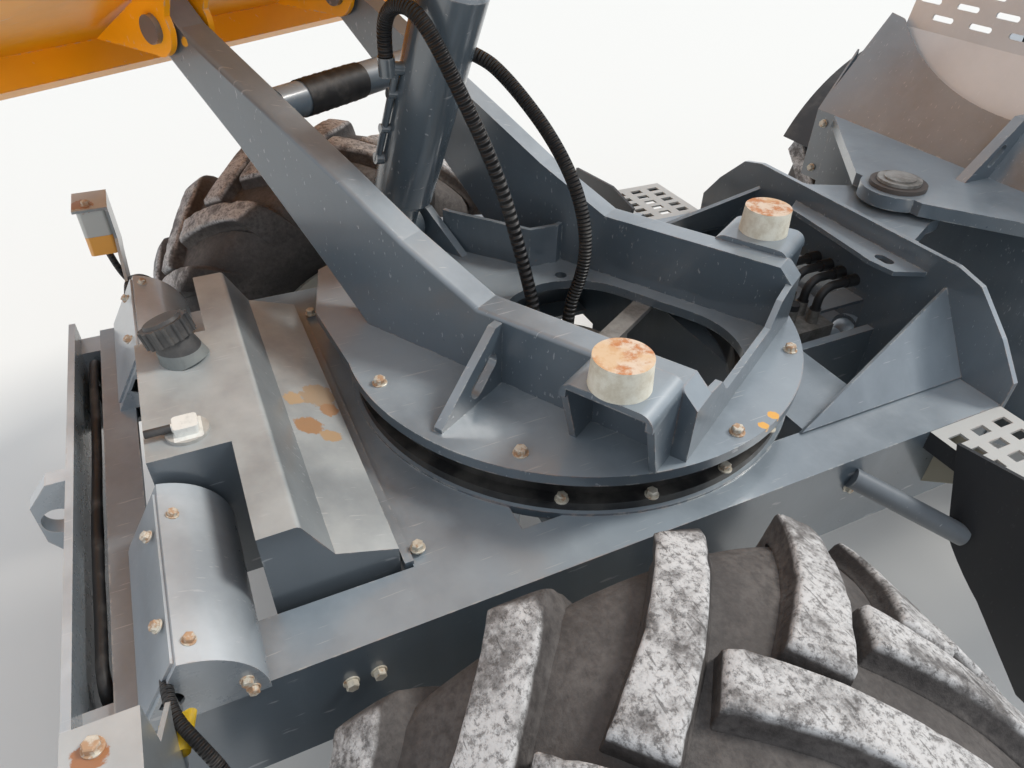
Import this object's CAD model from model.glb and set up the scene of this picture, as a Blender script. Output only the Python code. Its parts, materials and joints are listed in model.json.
import json
import math

import bmesh
import bpy
from mathutils import Matrix, Vector, noise


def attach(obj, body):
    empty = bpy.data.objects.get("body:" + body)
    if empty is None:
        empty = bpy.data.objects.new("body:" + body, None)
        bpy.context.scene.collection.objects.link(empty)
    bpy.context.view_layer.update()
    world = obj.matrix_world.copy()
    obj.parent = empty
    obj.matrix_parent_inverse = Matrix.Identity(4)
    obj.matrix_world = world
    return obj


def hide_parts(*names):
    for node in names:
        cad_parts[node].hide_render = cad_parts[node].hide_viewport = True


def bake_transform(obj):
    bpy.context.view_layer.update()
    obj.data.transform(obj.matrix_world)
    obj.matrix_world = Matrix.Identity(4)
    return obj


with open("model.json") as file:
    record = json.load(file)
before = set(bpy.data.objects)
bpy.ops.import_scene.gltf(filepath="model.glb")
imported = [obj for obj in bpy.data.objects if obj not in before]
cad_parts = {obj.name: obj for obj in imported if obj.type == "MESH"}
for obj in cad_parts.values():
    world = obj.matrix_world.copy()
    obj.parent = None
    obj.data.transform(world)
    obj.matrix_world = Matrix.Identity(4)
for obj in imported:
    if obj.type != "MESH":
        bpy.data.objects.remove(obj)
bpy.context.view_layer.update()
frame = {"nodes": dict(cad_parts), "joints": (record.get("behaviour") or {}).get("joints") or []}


# Viewpoint. The machine's own axes start at its slewing axis, on the ground: x to its left, y rearward.
# The lens stands at the left front corner, above the near front wheel, and looks back across the turntable.
slew_axis = next(joint for joint in frame["joints"] if joint["name"] == "slew")
home = Vector((slew_axis["pos_m"][0], slew_axis["pos_m"][1], 0.0))
yaw, pitch, roll = (math.radians(angle) for angle in (154.093, -37.905, 1.469))
ahead = Vector((math.cos(pitch) * math.cos(yaw), math.cos(pitch) * math.sin(yaw), math.sin(pitch)))
level_right = ahead.cross(Vector((0, 0, 1))).normalized()
level_up = level_right.cross(ahead)
right = math.cos(roll) * level_right + math.sin(roll) * level_up
up = math.cos(roll) * level_up - math.sin(roll) * level_right
lens = bpy.data.cameras.new("viewpoint")
sensor_mm, focal_pixels, picture_pixels = 36.0, 725.227, 1024
lens.sensor_width = sensor_mm
lens.lens = sensor_mm * focal_pixels / picture_pixels
lens.clip_start = 0.05
viewpoint = bpy.data.objects.new("viewpoint", lens)
lens_place = home + Vector((1.062, -0.644, 1.736))
viewpoint.matrix_world = Matrix.Translation(lens_place) @ Matrix((right, up, -ahead)).transposed().to_4x4()
bpy.context.scene.collection.objects.link(viewpoint)
bpy.context.scene.camera = viewpoint


# Yard: a pale, level floor, and a bright overcast sky with one soft sun high on the right.
# The floor's colour is close to that of dry pale gravel.
floor_mesh = bpy.data.meshes.new("yard_floor")
floor_mesh.from_pydata([(-30, -30, 0), (30, -30, 0), (30, 30, 0), (-30, 30, 0)], [], [(0, 1, 2, 3)])
yard_floor = bpy.data.objects.new("yard_floor", floor_mesh)
bpy.context.scene.collection.objects.link(yard_floor)
pale_ground = bpy.data.materials.new("pale_ground")
pale_ground.use_nodes = True
pale_ground.node_tree.nodes["Principled BSDF"].inputs["Base Color"].default_value = (0.68, 0.67, 0.64, 1)
pale_ground.node_tree.nodes["Principled BSDF"].inputs["Roughness"].default_value = 0.9
floor_mesh.materials.append(pale_ground)

sky = bpy.data.worlds.new("overcast")
sky.use_nodes = True
sky.node_tree.nodes["Background"].inputs["Color"].default_value = (0.88, 0.93, 1.0, 1)
sky.node_tree.nodes["Background"].inputs["Strength"].default_value = 0.95
bpy.context.scene.world = sky
sun = bpy.data.lights.new("soft_sun", "SUN")
sun.energy = 2.3
sun.angle = math.radians(14)
sun.color = (1.0, 0.97, 0.92)
soft_sun = bpy.data.objects.new("soft_sun", sun)
soft_sun.rotation_euler = (math.radians(38), math.radians(18), math.radians(150))
bpy.context.scene.collection.objects.link(soft_sun)
bpy.context.scene.view_settings.view_transform = "Standard"


# Frame steelwork: rails, bulkhead, turntable, arms and the rear unit, welded plate in one anthracite paint.
# The paint is satin, dusty where it faces up, scratched, rubbed pale along its edges and rusted in places.
slew_now = math.radians(-59.25)


def at(x, y, z):
    """A point of the machine, from millimetres."""
    return home + Vector((x, y, z)) / 1000


def on_table(forward, left, height):
    """A point of the turntable as it is slewed now, from millimetres."""
    return home + Matrix.Rotation(slew_now, 3, "Z") @ Vector((left, -forward, height)) / 1000


class Flow:
    """A socket in a material's node tree: arithmetic adds Math nodes, make() adds any other node."""

    def __init__(self, tree, socket=None):
        self.tree = tree
        self.socket = socket

    def make(self, kind, settings=None, sockets=None, out=0):
        node = self.tree.nodes.new(kind)
        for name, value in (settings or {}).items():
            setattr(node, name, value)
        for name, value in (sockets or {}).items():
            if isinstance(value, Flow):
                self.tree.links.new(value.socket, node.inputs[name])
            else:
                node.inputs[name].default_value = value
        return Flow(self.tree, node.outputs[out])

    def combine(self, operation, first, second):
        return self.make("ShaderNodeMath", {"operation": operation}, {0: first, 1: second})

    def __add__(self, other):
        return self.combine("ADD", self, other)

    __radd__ = __add__

    def __mul__(self, other):
        return self.combine("MULTIPLY", self, other)

    def __sub__(self, other):
        return self.combine("SUBTRACT", self, other)

    def __rsub__(self, other):
        return self.combine("SUBTRACT", other, self)

    def between(self, low, high):
        """0 below low, 1 above high, smooth in between."""
        return self.make("ShaderNodeMapRange", {"interpolation_type": "SMOOTHSTEP"},
                         {"Value": self, "From Min": low, "From Max": high})

    def blend(self, first, second):
        """A colour between two, by this mask."""
        return self.make("ShaderNodeMix", {"data_type": "RGBA"}, {0: self, 6: first, 7: second}, 2)

    def noise(self, scale, detail=4.0, rough=0.55, stretch=None):
        place = self.make("ShaderNodeTexCoord", out="Object")
        if stretch:
            place = self.make("ShaderNodeMapping", {}, {"Vector": place, "Scale": stretch})
        return self.make("ShaderNodeTexNoise", {},
                         {"Vector": place, "Scale": scale, "Detail": detail, "Roughness": rough})

    def near(self, point, radius, ragged=0.0):
        """1 within a radius in metres of a point, with an edge made ragged by noise."""
        place = self.make("ShaderNodeTexCoord", out="Object")
        gap = self.make("ShaderNodeVectorMath", {"operation": "DISTANCE"}, {0: place, 1: tuple(point)},
                        "Value")
        if ragged:
            gap = gap + (self.noise(60.0, 5.0, 0.7) - 0.5) * (2 * ragged * radius)
        return 1 - gap.between(radius * 0.85, radius)

    def within(self, low, high):
        """1 inside a box between two corners, in metres."""
        soft_edge = 0.0004
        place = self.make("ShaderNodeTexCoord", out="Object")
        mask = None
        for axis in range(3):
            across = self.make("ShaderNodeSeparateXYZ", {}, {0: place}, axis)
            above_low = across.between(low[axis] - soft_edge, low[axis])
            side = above_low * (1 - across.between(high[axis], high[axis] + soft_edge))
            mask = side if mask is None else mask * side
        return mask


def new_finish(name):
    """A material with an empty shader, and the flow that adds to it."""
    finish = bpy.data.materials.new(name)
    finish.use_nodes = True
    return finish, Flow(finish.node_tree), finish.node_tree.nodes["Principled BSDF"]


def connect(finish, shader, links):
    for name, value in links.items():
        if isinstance(value, Flow):
            finish.node_tree.links.new(value.socket, shader.inputs[name])
        else:
            shader.inputs[name].default_value = value


def painted_plate(name, paint, dust, rust_share, dust_share, gloss, marks=(), parts=(), coat=0.55):
    """Paint with settled dust, scratches, rubbed edges and rust.

    marks are spots (point, radius, colour); parts are boxes in another paint (low, high, colour).
    """
    finish, flow, shader = new_finish(name)
    normal = flow.make("ShaderNodeNewGeometry", out="Normal")
    level = flow.make("ShaderNodeSeparateXYZ", {}, {0: normal}, 2)
    soft_normal = flow.make("ShaderNodeBevel", {"samples": 4}, {"Radius": 0.005})
    along = flow.make("ShaderNodeVectorMath", {"operation": "DOT_PRODUCT"}, {0: soft_normal, 1: normal},
                      "Value")
    edge = (1 - along).between(0.01, 0.12)
    clouds = flow.noise(3.0, 6.0, 0.6)
    grit = flow.noise(45.0, 5.0, 0.65)
    fine = flow.noise(260.0, 3.0, 0.6)
    streaks = flow.noise(9.0, 5.0, 0.6, stretch=(1.0, 1.0, 0.15))
    scratches = flow.noise(34.0, 3.0, 0.5, stretch=(6.0, 0.35, 2.0)).between(0.67, 0.71)
    scuffs = flow.noise(16.0, 8.0, 0.75, stretch=(0.6, 2.2, 1.0)).between(0.60, 0.74)
    settled = level.between(0.1, 0.9) * (0.3 + clouds.between(0.25, 0.65) * 0.7) * dust_share
    settled = settled + streaks.between(0.5, 0.9) * 0.2
    bare = edge * grit.between(0.50, 0.60) * 0.75
    rust = (edge * clouds.between(0.48, 0.62) + flow.noise(11.0, 8.0, 0.7).between(0.70, 0.76)) * rust_share
    deep = tuple(0.85 * c for c in paint) + (1,)
    light = tuple(1.2 * c for c in paint) + (1,)
    half_dusty = tuple(0.5 * (a + b) for a, b in zip(paint, dust)) + (1,)
    colour = clouds.between(0.2, 0.8).blend(deep, light)
    colour = settled.blend(colour, dust + (1,))
    colour = (scuffs * level.between(0.1, 0.8) * 0.4).blend(colour, half_dusty)
    colour = (scratches * 0.45).blend(colour, tuple(0.45 * a + 0.4 for a in paint) + (1,))
    colour = bare.blend(colour, (0.42, 0.42, 0.40, 1))
    for low, high, other in parts:
        colour = (flow.within(low, high) * 0.9).blend(colour, other + (1,))
    colour = (rust * grit.between(0.35, 0.6)).blend(colour, (0.27, 0.095, 0.028, 1))
    for point, radius, other in marks:
        colour = flow.near(point, radius, 0.7).blend(colour, other + (1,))
    rough = gloss + settled * 0.30 + rust * 0.4 + (grit - 0.5) * 0.12
    bump = flow.make("ShaderNodeBump", {}, {"Strength": 0.15, "Distance": 0.0015,
                                            "Height": grit + clouds * 0.5 + fine * 0.25})
    connect(finish, shader, {"Base Color": colour, "Roughness": rough, "Normal": bump,
                             "Specular IOR Level": 0.5 + 0.7 * coat,
                             "Coat Weight": coat, "Coat Roughness": 0.16, "Coat IOR": 1.75})
    return finish


def dress(node, finish):
    """Gives a solid's mesh its finish."""
    mesh = frame["nodes"][node].data
    mesh.materials.clear()
    mesh.materials.append(finish)


grey_paint = (0.079, 0.104, 0.127)
grey_dust = (0.38, 0.435, 0.475)
yellow_primer = (0.75, 0.36, 0.02)
rust_brown = (0.30, 0.115, 0.035)
anthracite = painted_plate("anthracite", grey_paint, grey_dust, 0.4, 0.55, 0.30)
for node in ("front_chassis", "bulkhead", "rear_chassis", "platform", "rollover_posts", "rollover_hoop",
             "steer_barrels", "front_axle", "rear_axle"):
    dress(node, anthracite)
faded = painted_plate("faded_anthracite", (0.215, 0.245, 0.272), (0.54, 0.585, 0.615), 0.30, 0.85, 0.28)
for node in ("front_bumper", "light_guards"):
    dress(node, faded)
dress("turntable", painted_plate("turntable_paint", grey_paint, grey_dust, 0.5, 0.55, 0.30, marks=(
    (on_table(-318, -60, 946), 0.009, yellow_primer), (on_table(-436, 60, 946), 0.011, yellow_primer),
    (on_table(-431, 96, 944), 0.010, yellow_primer), (on_table(-345, 120, 946), 0.006, rust_brown))))
dress("tip_frame", painted_plate("arm_paint", grey_paint, grey_dust, 0.45, 0.50, 0.30, marks=(
    (on_table(745, -262, 1452), 0.020, yellow_primer), (on_table(700, 262, 1405), 0.012, yellow_primer),
    (on_table(-180, 335, 1068), 0.008, yellow_primer), (on_table(-260, -330, 1085), 0.010, yellow_primer))))
tank_grey, tank_dust = (0.105, 0.125, 0.142), (0.44, 0.465, 0.46)
dress("hydraulic_tank", painted_plate("tank_paint", tank_grey, tank_dust, 0.6, 0.88, 0.34, marks=(
    (at(-20, -512, 900), 0.036, (0.33, 0.25, 0.17)), (at(24, -500, 896), 0.020, (0.33, 0.19, 0.10)),
    (at(70, -548, 908), 0.026, (0.34, 0.19, 0.09)), (at(-62, -585, 985), 0.016, rust_brown),
    (at(-10, -560, 905), 0.020, (0.42, 0.30, 0.18)), (at(100, -520, 894), 0.018, (0.40, 0.27, 0.15)))))


# Screws: hexagon heads on washers, zinc-plated or gone to rust.
# Six stand round the turntable's rim, the rest on the ring, guards, rails, bumper and rear plates.
def zinc(name, rust_share):
    finish, flow, shader = new_finish(name)
    spots = flow.noise(90.0, 5.0, 0.65)
    rust = spots.between(0.62 - rust_share * 0.4, 0.72 - rust_share * 0.3)
    colour = spots.between(0.3, 0.7).blend((0.66, 0.62, 0.53, 1), (0.50, 0.45, 0.36, 1))
    connect(finish, shader, {"Base Color": (rust * 0.8).blend(colour, (0.40, 0.21, 0.10, 1)),
                             "Metallic": 0.35 - rust * 0.3, "Roughness": 0.45 + rust * 0.35})
    return finish


def finished_piece(name, shape, body, finish):
    """Files a mesh as a piece that rides on a body."""
    mesh = bpy.data.meshes.new(name)
    shape.to_mesh(mesh)
    shape.free()
    mesh.materials.append(finish)
    piece = bpy.data.objects.new(name, mesh)
    bpy.context.scene.collection.objects.link(piece)
    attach(piece, body)
    return piece


def screws(name, body, finish, rows):
    """Screws in rows of (foot, direction, millimetres across the head)."""
    shape = bmesh.new()
    for number, (foot, direction, across) in enumerate(rows):
        turn = Vector(direction).to_track_quat("Z", "Y").to_matrix().to_4x4()
        seat = (Matrix.Translation(foot) @ turn @ Matrix.Rotation(number * 1.7, 4, "Z")
                @ Matrix.Scale(across / 1000, 4))
        # (sides, low radius, high radius, low, high), in widths across the head
        for sides, low_r, high_r, low, high in ((28, 0.70, 0.70, -0.05, 0.10), (28, 0.70, 0.66, 0.10, 0.13),
                                                (6, 0.565, 0.565, 0.12, 0.58), (6, 0.565, 0.47, 0.58, 0.66)):
            middle = Matrix.Translation((0, 0, (low + high) / 2))
            bmesh.ops.create_cone(shape, cap_ends=True, segments=sides, radius1=low_r, radius2=high_r,
                                  depth=high - low, matrix=seat @ middle)
    return finished_piece(name, shape, body, finish)


zinc_plate = zinc("zinc_plate", 0.15)
rusty_zinc = zinc("rusty_zinc", 0.48)
screws("turntable_screws", "table", rusty_zinc, [
    (on_table(forward, left, 946), (0, 0, 1), 19)
    for forward, left in ((165, 383), (-137, 388), (-400, 139), (-398, -149), (-137, -388), (165, -383))])
ring_circle_r = 427
ring_angles = [math.radians(20 * step - 10) for step in range(18) if step not in (14, 15, 16)]
screws("ring_screws", "front", zinc_plate, [
    (at(ring_circle_r * math.cos(angle), ring_circle_r * math.sin(angle), 872), (0, 0, 1), 17)
    for angle in ring_angles])
guard_rows = []
for side in (1, -1):
    for x, y, z, tilt in ((261, -806, 947, (0, -0.66, 0.75)), (417, -804, 949, (0, -0.66, 0.75)),
                          (242, -770, 957, (0, 0.32, 0.947)), (458, -770, 957, (0, 0.32, 0.947)),
                          (490, -722, 885, (side, 0, 0)), (490, -718, 864, (side, 0, 0))):
        guard_rows.append((at(side * x, y, z), tilt, 13))
    guard_rows.append((at(side * 626, -840, 1072), (0, 0, 1), 15))
screws("guard_screws", "front", rusty_zinc, guard_rows)
screws("frame_screws", "front", zinc_plate, [
    (at(side * x, y, z), normal, 17) for side in (1, -1)
    for x, y, z, normal in ((440, -932, 820, (0, -1, 0)), (440, -932, 680, (0, -1, 0)),
                            (360, -455, 860, (0, 0, 1)),
                            (482, 330, 780, (side, 0, 0)), (482, 372, 780, (side, 0, 0)),
                            (482, -560, 780, (side, 0, 0)), (482, -600, 780, (side, 0, 0)))])
screws("rear_screws", "rear", zinc_plate, [
    (at(side * x, y, z), normal, 17) for side in (1, -1)
    for x, y, z, normal in ((470, 1081, 930, (0, -1, 0)), (470, 1081, 1060, (0, -1, 0)),
                            (380, 2800, 720, (0, 1, 0)), (300, 2800, 720, (0, 1, 0)))])


# Skip: welded sheet in orange-yellow paint, with a little dust and rust.
# The hood over the engine has the same paint.
yellow_dust = (0.70, 0.36, 0.03)
signal_yellow = painted_plate("signal_yellow", (1.0, 0.40, 0.0), yellow_dust, 0.6, 0.08, 0.38, coat=0.0)
dress("skip", signal_yellow)
dress("engine_hood", signal_yellow)


# Slewing ring: a black oiled race under the turntable.
# Grease and dust lie on it in patches.
finish, flow, shader = new_finish("oiled_race")
oil = flow.noise(14.0, 5.0, 0.6)
race = oil.between(0.35, 0.7).blend((0.014, 0.014, 0.015, 1), (0.07, 0.066, 0.06, 1))
connect(finish, shader, {"Base Color": race,
                         "Roughness": 0.28 + oil.between(0.3, 0.8) * 0.35})
dress("slew_ring_fixed", finish)
dress("slew_ring_turning", finish)


# Tyres: a carcass turned in one profile and thirty leaning bars with worn, chipped faces.
# The rubber is black-brown, chalky with dust between the bars, pale on their faces.
bars_a_side = 15
# Carcass from bead to bead and round inside: (x, radius)
half_section = [(0, 503.5), (60, 503.3), (120, 502), (158, 498), (176, 488), (190, 466), (198, 436),
                (202, 404), (202.5, 384), (200, 362), (193, 338), (181, 318), (170, 306), (164, 298),
                (160, 288), (153, 281)]
other_half = [(-x, radius) for x, radius in reversed(half_section[1:])]
section = half_section + [(153, 255), (-153, 255)] + other_half
# One bar along its run, from the middle outwards, before its lean is turned:
# (foot x, foot radius, top x, top radius, rearward place, half width, lean in degrees, height)
bar_run = [(-14, 500, -14, 537.2, -98, 35, 50, 0.0), (-13, 500, -12, 537.4, -96.5, 35, 50, 0.8),
           (-11, 500, -9, 537.4, -93, 35, 50, 1.0), (25, 500, 25, 537.3, -52, 33, 48, 1.0),
           (63, 500, 63, 536.9, -9, 31.5, 44, 1.0), (100, 499.5, 102, 536.2, 26, 31, 41, 1.0),
           (135, 497, 140, 535.0, 57, 31, 37, 1.0), (155, 493, 168, 533.4, 76, 32, 32, 1.0),
           (168, 487, 187, 530.6, 87, 33, 22, 1.0), (174, 479, 197.5, 522, 93, 34, 10, 1.0),
           (180, 465, 201.2, 504, 97, 35, 4, 1.0), (186, 447, 202.2, 478, 100, 36, 0, 1.0),
           (191, 425, 202.3, 446, 102, 37, 0, 1.0), (194, 405, 202.0, 420, 103, 37, 0, 0.8),
           (196, 395, 200.5, 404, 103, 37, 0, 0.0)]
# Across a bar from edge to edge: (half widths, millimetres beyond, height)
bar_across = [(-1, -9, 0.0), (-1, -4.5, 0.14), (-1, -2.2, 0.4), (-1, -0.8, 0.75), (-1, 0, 0.92),
              (-1, 1.8, 0.975), (-1, 5, 1.0), (-0.72, 0, 1.0), (-0.5, 0, 1.0), (-0.25, 0, 1.0), (0, 0, 1.0),
              (0.25, 0, 1.0), (0.5, 0, 1.0), (0.72, 0, 1.0), (1, -5, 1.0), (1, -1.8, 0.975), (1, 0, 0.92),
              (1, 0.8, 0.75), (1, 2.2, 0.4), (1, 4.5, 0.14), (1, 9, 0.0)]
shape = bmesh.new()
steps_round = 144
rings = []
for step in range(steps_round):
    angle = 2 * math.pi * step / steps_round
    rings.append([
        shape.verts.new((x / 1000, -math.sin(angle) * radius / 1000, math.cos(angle) * radius / 1000))
        for x, radius in section])
for step in range(steps_round):
    this, following = rings[step], rings[(step + 1) % steps_round]
    for place in range(len(section)):
        beside = (place + 1) % len(section)
        shape.faces.new((this[place], this[beside], following[beside], following[place])).smooth = True
bar_turn = 0.032
widest_half = 202.4
for bar in range(2 * bars_a_side):
    side = 1 if bar % 2 else -1
    turn = math.pi * bar / bars_a_side + bar_turn
    grid = []
    for number, row in enumerate(bar_run):
        following = bar_run[min(number + 1, len(bar_run) - 1)]
        divisions = 4 if 2 <= number <= 7 else 2 if 8 <= number < len(bar_run) - 1 else 1
        for division in range(divisions):
            share = division / divisions
            foot_x, foot_r, top_x, top_r, middle, half_width, lean, height = (
                a + (b - a) * share for a, b in zip(row, following))
            lean = math.radians(lean)
            line = []
            for widths, beyond, rise in bar_across:
                across = widths * half_width + beyond
                rise = rise * height
                seed = Vector((across * 0.03 + bar * 7.3, middle * 0.035 + side, top_r * 0.03))
                wear = max(0.0, noise.noise(seed * 1.7) - 0.10) * (7.0 if abs(widths) == 1 else 2.2)
                wear += max(0.0, noise.noise(seed * 5.1) - 0.25) * (5.0 if abs(widths) == 1 else 1.2)
                wear = wear * (1 if rise > 0.7 else 0) + (0.35 if rise > 0.9 else 0.0)
                across -= 0.5 * wear if widths > 0.9 else -0.5 * wear if widths < -0.9 else 0
                radius = foot_r + (top_r - foot_r) * rise - wear
                x = foot_x + (top_x - foot_x) * rise - across * math.sin(lean)
                spin = turn - (middle + across * math.cos(lean)) / radius
                line.append(shape.verts.new((side * min(x, widest_half) / 1000,
                                             -math.sin(spin) * radius / 1000,
                                             math.cos(spin) * radius / 1000)))
            grid.append(line)
    for this, following in zip(grid, grid[1:]):
        for a, b in zip(range(len(this)), range(1, len(this))):
            shape.faces.new((this[a], this[b], following[b], following[a])).smooth = True
        shape.faces.new((this[-1], this[0], following[0], following[-1]))
    shape.faces.new(grid[0])
    shape.faces.new(grid[-1][::-1])
bmesh.ops.recalc_face_normals(shape, faces=shape.faces[:])
tyre_mesh = bpy.data.meshes.new("tyre")
shape.to_mesh(tyre_mesh)
shape.free()
finish, flow, shader = new_finish("tyre_rubber")
place = flow.make("ShaderNodeTexCoord", out="Object")
flat = flow.make("ShaderNodeVectorMath", {"operation": "MULTIPLY"}, {0: place, 1: (0, 1, 1)})
radius = flow.make("ShaderNodeVectorMath", {"operation": "LENGTH"}, {0: flat}, "Value")
clouds = flow.noise(5.0, 6.0, 0.65)
blotches = flow.noise(13.0, 7.0, 0.72)
grit = flow.noise(75.0, 6.0, 0.7)
speckle = flow.noise(120.0, 6.0, 0.8)
cuts = flow.noise(16.0, 2.0, 0.5, stretch=(1.2, 9.0, 9.0)).between(0.665, 0.685)
worn = radius.between(0.5235, 0.5315)
pale = worn * (0.15 + blotches.between(0.36, 0.56) * 0.85) * (0.25 + speckle.between(0.38, 0.54) * 0.75)
dusty = clouds.between(0.30, 0.70) * grit.between(0.30, 0.65) * 0.65
dusty = dusty + (1 - radius.between(0.500, 0.512)) * 0.15
colour = speckle.between(0.4, 0.7).blend((0.030, 0.026, 0.025, 1), (0.060, 0.053, 0.050, 1))
colour = dusty.blend(colour, (0.170, 0.155, 0.145, 1))
colour = pale.blend(colour, (0.53, 0.525, 0.52, 1))
colour = (worn * cuts * 0.6).blend(colour, (0.045, 0.042, 0.040, 1))
bump = flow.make("ShaderNodeBump", {}, {"Strength": 0.55, "Distance": 0.004,
                                        "Height": grit * 0.6 + blotches + speckle * 0.3})
connect(finish, shader, {"Base Color": colour, "Roughness": 0.68 + dusty * 0.3, "Normal": bump})
tyre_mesh.materials.append(finish)
for corner in ("front_left", "front_right", "rear_left", "rear_right"):
    axle = next(joint for joint in frame["joints"] if joint["name"] == corner + "_spin")["pos_m"]
    tyre = bpy.data.objects.new(corner + "_tread", tyre_mesh.copy())
    tyre.location = axle
    bpy.context.scene.collection.objects.link(tyre)
    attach(tyre, corner + "_wheel")
    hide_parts(corner + "_tyre")


# Wheel rims: dished steel in pale cream paint, dusty.
# Ten nuts in a circle hold each to its hub.
nut_circle_r, nut_face = 0.168, 0.030
wheel_cream = painted_plate("wheel_cream", (0.58, 0.55, 0.47), (0.35, 0.31, 0.25), 0.6, 0.5, 0.45)
for corner in ("front_left", "front_right", "rear_left", "rear_right"):
    dress(corner + "_rim", wheel_cream)
    axle = Vector(next(joint for joint in frame["joints"] if joint["name"] == corner + "_spin")["pos_m"])
    side = 1 if corner.endswith("left") else -1
    nuts = []
    for step in range(10):
        angle = math.radians(36 * step)
        place = Vector((side * nut_face, nut_circle_r * math.cos(angle), nut_circle_r * math.sin(angle)))
        nuts.append((axle + place, (side, 0, 0), 26))
    screws(corner + "_nuts", corner + "_wheel", zinc_plate, nuts)


# Tipping ram: a painted barrel, with chromed stages that show above it.
# The steering rods have the same hard chrome.
ram_grey = painted_plate("ram_grey", (0.075, 0.095, 0.112), (0.30, 0.29, 0.26), 0.4, 0.3, 0.24)
dress("ram_barrel", ram_grey)
finish, flow, shader = new_finish("hard_chrome")
smear = flow.noise(8.0, 4.0, 0.6)
connect(finish, shader, {"Base Color": (0.75, 0.76, 0.78, 1), "Metallic": 1.0,
                         "Roughness": 0.12 + smear * 0.15})
for node in ("ram_stage", "ram_rod", "steer_rod_left", "steer_rod_right"):
    dress(node, finish)


# Hoses: black rubber in a spiral guard, from the ram's ports down through the turntable's opening.
# Each is a free run of its real length, and its upper end follows the ram's barrel.
def smooth_run(name, points):
    """A curve that runs smoothly along its control points."""
    curve = bpy.data.curves.new(name, "CURVE")
    curve.dimensions = "3D"
    spline = curve.splines.new("NURBS")
    spline.points.add(len(points) - 1)
    for knot, point in zip(spline.points, points):
        knot.co = (*point, 1.0)
    spline.order_u = 3
    spline.use_endpoint_u = True
    spline.resolution_u = 8
    return curve


finish, flow, shader = new_finish("hose_rubber")
along = flow.make("ShaderNodeSeparateXYZ", {}, {0: flow.make("ShaderNodeTexCoord", out="UV")}, 0)
ridge = flow.make("ShaderNodeMath", {"operation": "SINE"}, {0: along * 520.0})
dust = flow.noise(18.0, 5.0, 0.6)
rubber = (dust.between(0.5, 0.8) * 0.6).blend((0.012, 0.012, 0.013, 1), (0.10, 0.095, 0.085, 1))
bump = flow.make("ShaderNodeBump", {}, {"Strength": 0.9, "Distance": 0.003, "Height": ridge})
connect(finish, shader, {"Base Color": rubber, "Roughness": 0.35 + dust * 0.25, "Normal": bump})
hose_rubber = finish
hose_routes = {
    "hose_left": (0.8132, [
        (367, 86, 1400), (365, 89, 1434), (354, 93, 1466), (332, 96, 1487), (303, 96, 1491),
        (276, 92, 1474), (254, 84, 1440), (236, 73, 1398), (217, 57, 1345), (196, 38, 1284),
        (175, 18, 1214), (155, 1, 1136), (137, -11, 1056), (117, -18, 980), (98, -21, 912),
        (98, -21, 860)]),
    "hose_right": (0.6560, [
        (318, -88, 1384), (282, -98, 1374), (240, -102, 1348), (194, -104, 1312), (144, -106, 1266),
        (99, -106, 1214), (62, -104, 1157), (38, -100, 1095), (27, -92, 1036), (32, -84, 980),
        (46, -74, 920), (46, -74, 860)]),
}
hose_radius = 0.0135
for name, (length, route) in hose_routes.items():
    points = [on_table(*corner) for corner in route]
    curve = smooth_run(name + "_run", points)
    line = bpy.data.objects.new(name + "_line", curve)
    path = [tuple(vert.co) for vert in bpy.data.meshes.new_from_object(line).vertices]
    curve.bevel_depth = hose_radius
    curve.bevel_resolution = 5
    tube = bpy.data.meshes.new_from_object(line)
    tube.materials.clear()
    tube.materials.append(hose_rubber)
    for face in tube.polygons:
        face.use_smooth = True
    bpy.data.objects.remove(line)
    hose = bpy.data.objects.new(name + "_run", tube)
    bpy.context.scene.collection.objects.link(hose)
    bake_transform(hose)
    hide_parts(name)


# Fixed lines: two pressure lines clipped behind the bumper, and the ribbed sleeve of each lamp's lead.
# They are held along their whole length, so they are trim on the front frame.
def pipe(name, body, finish, radius, points):
    curve = smooth_run(name, points)
    curve.bevel_depth = radius / 1000
    curve.bevel_resolution = 4
    curve.use_fill_caps = True
    curve.materials.append(finish)
    line = bpy.data.objects.new(name, curve)
    bpy.context.scene.collection.objects.link(line)
    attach(line, body)


finish, flow, shader = new_finish("line_rubber")
dust = flow.noise(22.0, 5.0, 0.6)
rubber = dust.between(0.45, 0.8).blend((0.013, 0.013, 0.014, 1), (0.085, 0.08, 0.075, 1))
connect(finish, shader, {"Base Color": rubber, "Roughness": 0.42 + dust * 0.2})
line_rubber = finish
pipe("bumper_line_upper", "front", line_rubber, 8.5, [
    at(x, y, z) for x, y, z in ((-405, -897, 700), (-405, -897, 780), (-395, -896, 842), (-300, -897, 846),
                                (-100, -895, 840), (120, -898, 845), (300, -896, 842), (395, -897, 838),
                                (405, -897, 780), (405, -897, 700))])
pipe("bumper_line_lower", "front", line_rubber, 7, [
    at(x, y, z) for x, y, z in ((-380, -906, 690), (-378, -906, 760), (-350, -905, 806), (-150, -906, 812),
                                (90, -904, 806), (300, -906, 814), (372, -906, 780), (376, -906, 690))])
finish, flow, shader = new_finish("ribbed_sleeve")
along = flow.make("ShaderNodeSeparateXYZ", {}, {0: flow.make("ShaderNodeTexCoord", out="UV")}, 0)
ridge = flow.make("ShaderNodeMath", {"operation": "SINE"}, {0: along * 320.0})
plastic = flow.noise(30.0).between(0.4, 0.8).blend((0.016, 0.016, 0.017, 1), (0.09, 0.085, 0.08, 1))
bump = flow.make("ShaderNodeBump", {}, {"Strength": 1.0, "Distance": 0.003, "Height": ridge})
connect(finish, shader, {"Base Color": plastic, "Roughness": 0.5, "Normal": bump})
sleeve_route = ((476, -806, 922), (506, -804, 931), (540, -796, 930), (575, -775, 912), (600, -758, 880),
                (630, -762, 850), (652, -800, 850), (656, -826, 900), (652, -834, 966))
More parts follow.
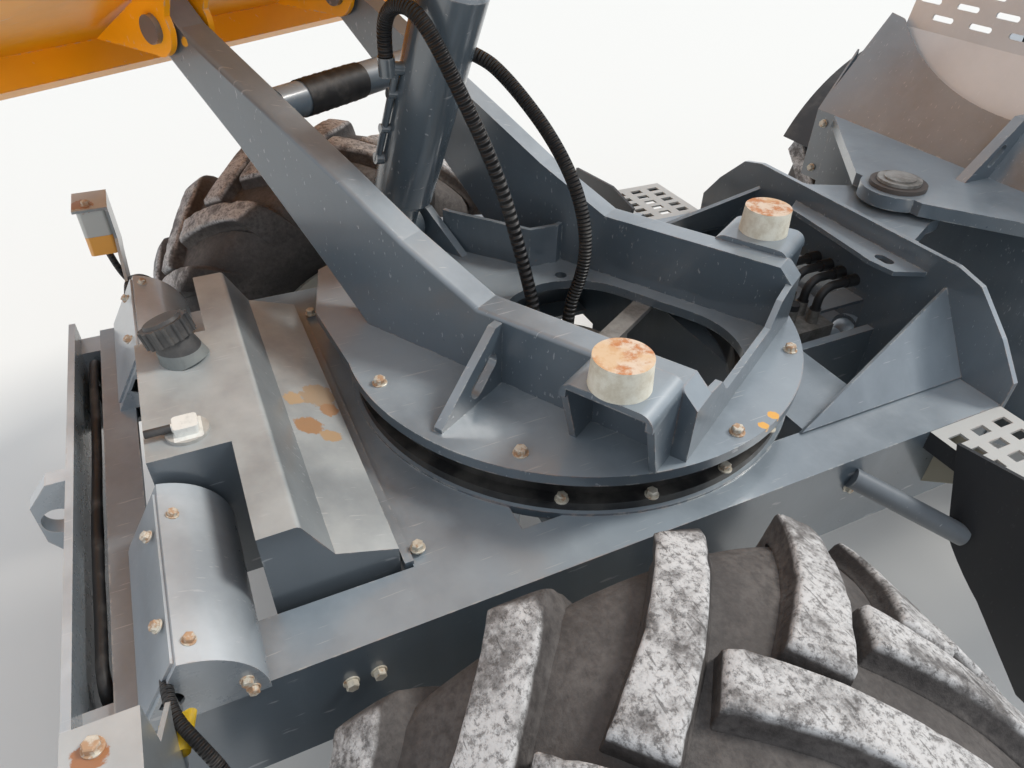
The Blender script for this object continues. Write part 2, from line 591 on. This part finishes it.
for name, side in (("lamp_sleeve_left", 1), ("lamp_sleeve_right", -1)):
    pipe(name, "front", finish, 7.5, [at(side * x, y, z) for x, y, z in sleeve_route])


# Tag and tube wrap: thin plastic and tape, wrapped round what carries them.
# A blank yellow tag is bent round the left sleeve, and a black wrap covers part of the arms' cross tube.
finish, flow, shader = new_finish("tag_yellow")
dust = flow.noise(60.0, 5.0, 0.6)
plastic = dust.between(0.4, 0.8).blend((0.80, 0.55, 0.01, 1), (0.60, 0.46, 0.12, 1))
connect(finish, shader, {"Base Color": plastic, "Roughness": 0.4 + dust * 0.2})
shape = bmesh.new()
rows = []
for step in range(15):
    bend = math.radians(-150 + 20 * step)
    drop = max(0, step - 11) * 9.0
    bent = Vector((0, 9.0 * math.cos(bend), 9.0 * math.sin(bend)))
    rows.append([
        shape.verts.new(at(548 + along, -792 - 0.42 * along + bent.y - drop,
                           916 - 0.55 * along + bent.z - 0.4 * drop))
        for along in (-17, -6, 6, 17)])
for this, following in zip(rows, rows[1:]):
    for a, b in zip(range(3), range(1, 4)):
        shape.faces.new((this[a], this[b], following[b], following[a])).smooth = True
bmesh.ops.solidify(shape, geom=shape.faces[:], thickness=0.0012)
finished_piece("blank_tag", shape, "front", finish)
cross_tube_f, cross_tube_z, wrap_r = 548, 1306, 34.2
shape = bmesh.new()
rows = []
for step in range(25):
    left = -20 + 158 * step / 24
    swell = wrap_r + (1.6 if step % 4 == 0 else 0.5 if step % 2 else 1.0) - (0.9 if step in (0, 24) else 0)
    rows.append([
        shape.verts.new(on_table(cross_tube_f + swell * math.cos(math.radians(10 * turn)), left,
                                 cross_tube_z + swell * math.sin(math.radians(10 * turn))))
        for turn in range(36)])
for this, following in zip(rows, rows[1:]):
    for a in range(36):
        shape.faces.new((this[a], this[(a + 1) % 36], following[(a + 1) % 36], following[a])).smooth = True
finished_piece("tube_wrap", shape, "table", line_rubber)


# Fittings in black plastic: the tank's ribbed cap on its painted neck, the mudguards and the console.
# The pale level sensor beside the cap sits on a steel disc.
def moulding(name, parts=()):
    finish, flow, shader = new_finish(name)
    film = flow.noise(12.0, 5.0, 0.6)
    grain = flow.noise(420.0, 2.0, 0.5)
    colour = (film.between(0.40, 0.8) * 0.55).blend((0.026, 0.026, 0.028, 1), (0.16, 0.15, 0.135, 1))
    for low, high, other in parts:
        worn = flow.noise(55.0, 5.0, 0.65).between(0.45, 0.75) * 0.4
        worn_paint = worn.blend(other + (1,), tuple(0.5 * c for c in other) + (1,))
        colour = flow.within(low, high).blend(colour, worn_paint)
    bump = flow.make("ShaderNodeBump", {}, {"Strength": 0.2, "Distance": 0.001, "Height": grain})
    connect(finish, shader, {"Base Color": colour, "Roughness": 0.42 + film * 0.25, "Normal": bump})
    return finish


dress("tank_fittings", moulding("cap_and_sensor", (
    (at(60, -790, 992), at(170, -690, 999.2), (0.42, 0.41, 0.38)),
    (at(90, -748, 999), at(140, -706, 1016), (0.72, 0.72, 0.68)),
    (at(-150, -775, 980), at(-30, -650, 1014), (0.17, 0.185, 0.18)))))
black_moulding = moulding("black_moulding")
for node in ("rear_mudguards", "steering_console"):
    dress(node, black_moulding)


# Rest pads: cream blocks with rusty tops, on the tip frame's brackets behind the slewing axis.
# The lowered skip lies on them.
finish, flow, shader = new_finish("cream_pad")
level = flow.make("ShaderNodeSeparateXYZ", {}, {0: flow.make("ShaderNodeNewGeometry", out="Normal")}, 2)
stains = flow.noise(34.0, 6.0, 0.7)
rust = level.between(0.6, 0.9) * (0.35 + stains.between(0.45, 0.60) * 0.65)
ring_edge = flow.noise(12.0, 5.0, 0.6)
colour = stains.between(0.35, 0.7).blend((0.78, 0.75, 0.64, 1), (0.60, 0.54, 0.42, 1))
colour = rust.blend(colour, (0.50, 0.20, 0.075, 1))
colour = (level.between(0.6, 0.9) * ring_edge.between(0.48, 0.60) * 0.75).blend(colour, (0.64, 0.44, 0.25, 1))
bump = flow.make("ShaderNodeBump", {}, {"Strength": 0.4, "Distance": 0.002, "Height": stains})
connect(finish, shader, {"Base Color": colour, "Roughness": 0.72, "Normal": bump})
dress("rest_pads", finish)


# Lamps: in front a clear lens over an amber one, in a grey hood with rust on its top.
# Behind, a red lens beside an amber one.
clear_lens = (0.46, 0.46, 0.43)
amber_lens = (0.80, 0.34, 0.02)
lamp_parts = []
for low_x, high_x in ((603, 691), (-691, -603)):
    lamp_parts.append((at(low_x, -864, 1008), at(high_x, -806.5, 1065.5), clear_lens))
    lamp_parts.append((at(low_x, -864, 962), at(high_x, -806.5, 1007), amber_lens))
hood_grey, hood_dust = (0.20, 0.215, 0.22), (0.50, 0.51, 0.50)
lamp_rust = ((at(632, -842, 1072), 0.016, rust_brown), (at(-630, -850, 1072), 0.026, rust_brown))
dress("front_lamps", painted_plate("lamp_paint", hood_grey, hood_dust, 0.8, 0.8, 0.3,
                                   parts=lamp_parts, marks=lamp_rust))
lens_red, lens_dust, turn_amber = (0.42, 0.018, 0.010), (0.3, 0.2, 0.15), (0.75, 0.30, 0.02)
dress("rear_lamps", painted_plate("rear_lamp_lens", lens_red, lens_dust, 0.0, 0.2, 0.2, parts=(
    (at(375, 2799, 790), at(440, 2835, 870), turn_amber),
    (at(-440, 2799, 790), at(-375, 2835, 870), turn_amber))))


# Steps: zinc treads, dark mud plates, beige brackets and painted tubes, behind the front wheels.
# Each part's paint is laid on by its place in the one mesh.
step_parts = []
for low_x, high_x in ((480, 870), (-870, -480)):
    step_parts.append((at(low_x, 499, 480), at(high_x, 508.3, 892), (0.014, 0.014, 0.016)))
    step_parts.append((at(low_x, 508.4, 843), at(high_x, 701, 852), (0.46, 0.46, 0.44)))
    step_parts.append((at(low_x, 559, 690), at(high_x, 567, 845), (0.42, 0.38, 0.29)))
dress("front_steps", painted_plate("step_paint", (0.10, 0.115, 0.13), grey_dust, 0.3, 0.3, 0.4,
                                   parts=step_parts, coat=0.0))


# Valve block with its dark hoses, swivel, king pin and engine: plated or bare steel.
# Grime dulls it in patches.
def steel(name, parts=()):
    finish, flow, shader = new_finish(name)
    grime = flow.noise(20.0, 6.0, 0.65)
    colour = grime.between(0.3, 0.75).blend((0.42, 0.41, 0.39, 1), (0.13, 0.12, 0.105, 1))
    metal = 0.75 - grime.between(0.4, 0.8) * 0.5
    for low, high, other in parts:
        mask = flow.within(low, high)
        colour = mask.blend(colour, other + (1,))
        metal = metal * (1 - mask)
    connect(finish, shader, {"Base Color": colour, "Metallic": metal, "Roughness": 0.38 + grime * 0.3})
    return finish


bare_steel = steel("bare_steel")
for node in ("swivel_manifold", "engine_block"):
    dress(node, bare_steel)
dress("valve_block", steel("valve_steel", ((at(-90, 500, 866), at(110, 702, 945), (0.018, 0.018, 0.019)),)))
dress("king_pin", steel("pin_steel", ((at(-70, 760, 1091), at(70, 920, 1103), (0.075, 0.062, 0.055)),)))


# Front cowl of the rear unit: bent and slotted thin sheet in light grey.
# It is cleaner than the frame.
dress("front_cowl", painted_plate("cowl_paint", (0.52, 0.53, 0.54), (0.50, 0.48, 0.43), 0.1, 0.3, 0.35))


# Seat: a cushion and a back in black vinyl, crowned between their corners, with two sewn channels each.
# Both stand on a bevelled box.
finish, flow, shader = new_finish("seat_vinyl")
place = flow.make("ShaderNodeTexCoord", out="Object")
grain = flow.make("ShaderNodeTexVoronoi", {}, {"Vector": place, "Scale": 420.0})
dust = flow.noise(9.0, 5.0, 0.6)
vinyl = dust.between(0.45, 0.8).blend((0.020, 0.020, 0.021, 1), (0.075, 0.070, 0.064, 1))
bump = flow.make("ShaderNodeBump", {}, {"Strength": 0.25, "Distance": 0.0008, "Height": grain})
connect(finish, shader, {"Base Color": vinyl, "Roughness": 0.42 + dust * 0.2, "Normal": bump})
seat_vinyl = finish


def pad(shape, middle, lean, half, rounding, crown):
    """A padded block: rounded, crowned above, pulled in between its corners, with two sewn channels."""
    block = bmesh.new()
    bmesh.ops.create_cube(block, size=2)
    bmesh.ops.subdivide_edges(block, edges=block.edges[:], cuts=23, use_grid_fill=True)
    seat = Matrix.Translation(middle) @ Matrix.Rotation(lean, 4, "X")
    for vert in block.verts:
        x, y, z = vert.co
        full = Vector((x * half[0], y * half[1], z * half[2]))
        core = Vector([max(-size + rounding, min(size - rounding, value)) for value, size in zip(full, half)])
        if (full - core).length > 1e-9:
            full = core + (full - core).normalized() * rounding
        full.x *= 1 - 0.035 * (1 - y * y)
        full.y *= 1 - 0.035 * (1 - x * x)
        if z > 0:
            full.z += crown * (1 - x ** 4) * (1 - y ** 4) * z
            for channel in (-0.36, 0.36):
                full.z -= 0.010 * math.exp(-((x - channel) / 0.045) ** 2) * (1 - y ** 8) * z
        vert.co = seat @ full
    for face in block.faces:
        face.smooth = True
    whole = bpy.data.meshes.new("pad")
    block.to_mesh(whole)
    block.free()
    shape.from_mesh(whole)
    bpy.data.meshes.remove(whole)


shape = bmesh.new()
pad(shape, at(0, 1840, 1645), 0.0, (0.232, 0.225, 0.053), 0.040, 0.012)
pad(shape, at(0, 2054, 1885), math.radians(82), (0.222, 0.232, 0.036), 0.032, 0.014)
box_place = Matrix.Translation(at(0, 1845, 1431)) @ Matrix.Diagonal((0.400, 0.410, 0.338, 1))
low_box = bmesh.ops.create_cube(shape, size=1, matrix=box_place)
box_edges = list({edge for vert in low_box["verts"] for edge in vert.link_edges})
bmesh.ops.bevel(shape, geom=box_edges, offset=0.012, segments=3, affect="EDGES")
seat = finished_piece("operator_seat", shape, "rear", seat_vinyl)
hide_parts("seat")
